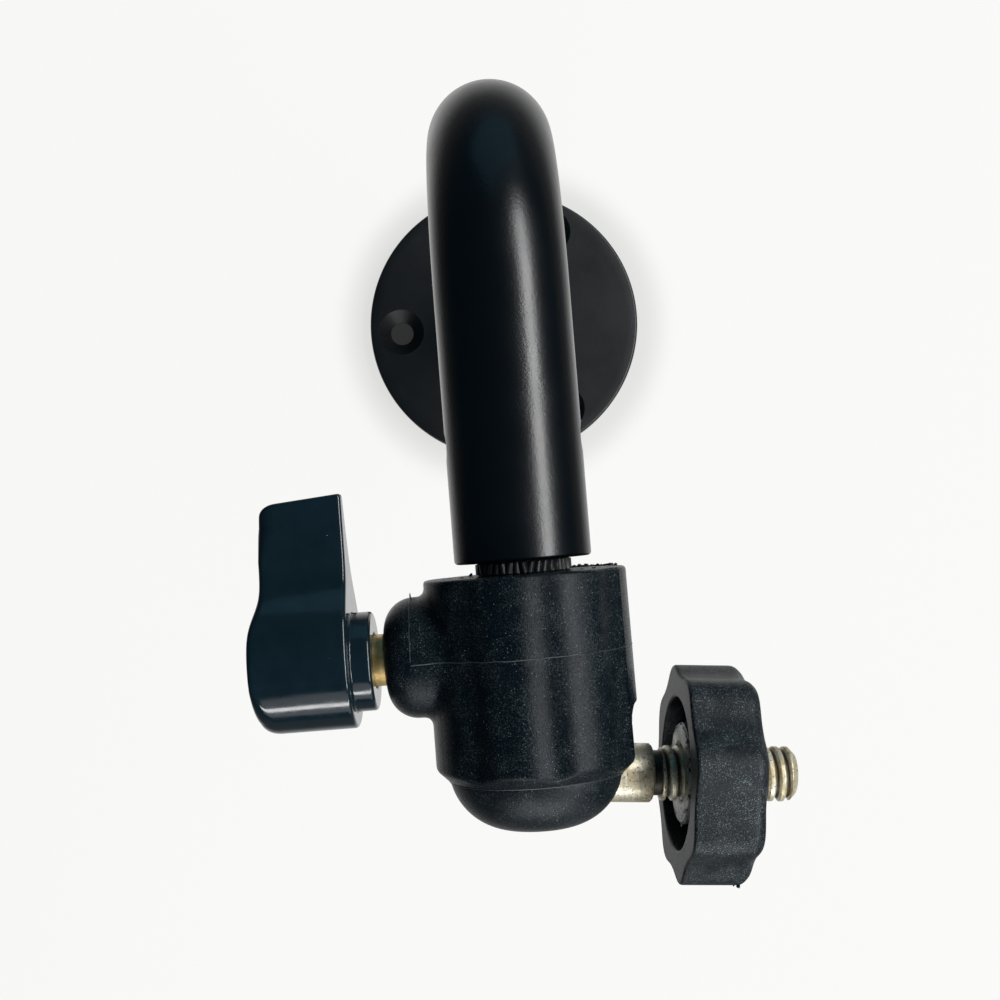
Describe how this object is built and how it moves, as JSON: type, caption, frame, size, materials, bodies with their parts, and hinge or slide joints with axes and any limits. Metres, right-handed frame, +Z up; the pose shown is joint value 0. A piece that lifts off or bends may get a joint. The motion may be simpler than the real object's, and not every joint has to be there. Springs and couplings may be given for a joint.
{
  "type": "umbrella swivel bracket",
  "caption": "Wall plate with a bent tube and a lever-locked ball head, which swivels and tilts and carries a quarter-inch stud with a locking hand wheel.",
  "frame": {"origin": "centre of the wall plate's back face, which lies against the wall", "axes": "+Y into the wall, +Z up, +X to the right as one faces the wall; the tube leaves the wall along -Y and its leg hangs along -Z"},
  "size_m": [0.065, 0.1909, 0.1268],
  "materials": {
    "plate_paint": "satin black paint",
    "tube_paint": "satin black paint",
    "moulded_plastic": "fine-grained black moulding",
    "wheel_plastic": "dull black moulding",
    "lever_plastic": "glossy black moulding",
    "brass": "machined brass",
    "nickel": "dulled nickel plate",
    "insert_metal": "rough grey metal",
    "dull_steel": "dull steel",
    "blackened_steel": "blackened steel",
    "nylon": "natural nylon"
  },
  "bodies": {
    "wall_arm": {"base_plate": "plate_paint", "base_spring_pin": "dull_steel", "bent_tube": "tube_paint", "tube_plug": "dull_steel", "plug_spring_pin": "dull_steel", "toothed_washer": "blackened_steel", "swivel_spindle": "dull_steel", "disc_spring": "dull_steel"},
    "head": {"head_housing": "moulded_plastic", "bottom_cap": "moulded_plastic", "friction_washer": "nylon", "clamp_nut": "brass"},
    "shoe": {"pressure_shoe": "nylon"},
    "screw": {"clamp_screw": "brass"},
    "lever": {"lever": "lever_plastic"},
    "ball": {"ball": "nickel"},
    "stud": {"threaded_stud": "nickel"},
    "insert": {"wheel_insert": "insert_metal"},
    "wheel": {"thumb_wheel": "wheel_plastic"}
  },
  "joints": [
    {"name": "head_swivel", "type": "hinge", "parent": "wall_arm", "child": "head", "pos_m": [0, -0.179, -0.0565], "axis": [0, 0, 1], "continuous": true},
    {"name": "lever_turn", "type": "hinge", "parent": "screw", "child": "lever", "pos_m": [-0.025, -0.179, -0.0653], "axis": [1, 0, 0], "range_deg": [-180, 90]},
    {"name": "screw_travel", "type": "slide", "parent": "head", "child": "screw", "axis": [1, 0, 0], "range_m": [-0.0005, 0.00025]},
    {"name": "shoe_travel", "type": "slide", "parent": "head", "child": "shoe", "axis": [0, 0, -1], "range_m": [-0.0002, 0.0001]},
    {"name": "stud_tilt", "type": "hinge", "parent": "head", "child": "ball", "pos_m": [0, -0.179, -0.0796], "axis": [0, 1, 0], "range_deg": [-15, 84.3]},
    {"name": "stud_spin", "type": "hinge", "parent": "ball", "child": "stud", "pos_m": [0, -0.179, -0.0796], "axis": [0.9916, 0.0833, -0.0993], "continuous": true},
    {"name": "wheel_turn", "type": "hinge", "parent": "insert", "child": "wheel", "pos_m": [0.01983, -0.17733, -0.08159], "axis": [-0.9916, -0.0833, 0.0993], "range_deg": [-1080, 360]},
    {"name": "wheel_travel", "type": "slide", "parent": "stud", "child": "insert", "axis": [-0.9916, -0.0833, 0.0993], "range_m": [-0.00381, 0.00127]}
  ],
  "couplings": [
    {"joint": "lever_turn", "follows": "screw_travel", "rad_per_m": 6283.2},
    {"joint": "shoe_travel", "follows": "screw_travel", "ratio": 0.4},
    {"joint": "wheel_turn", "follows": "wheel_travel", "rad_per_m": 4947.3}
  ]
}
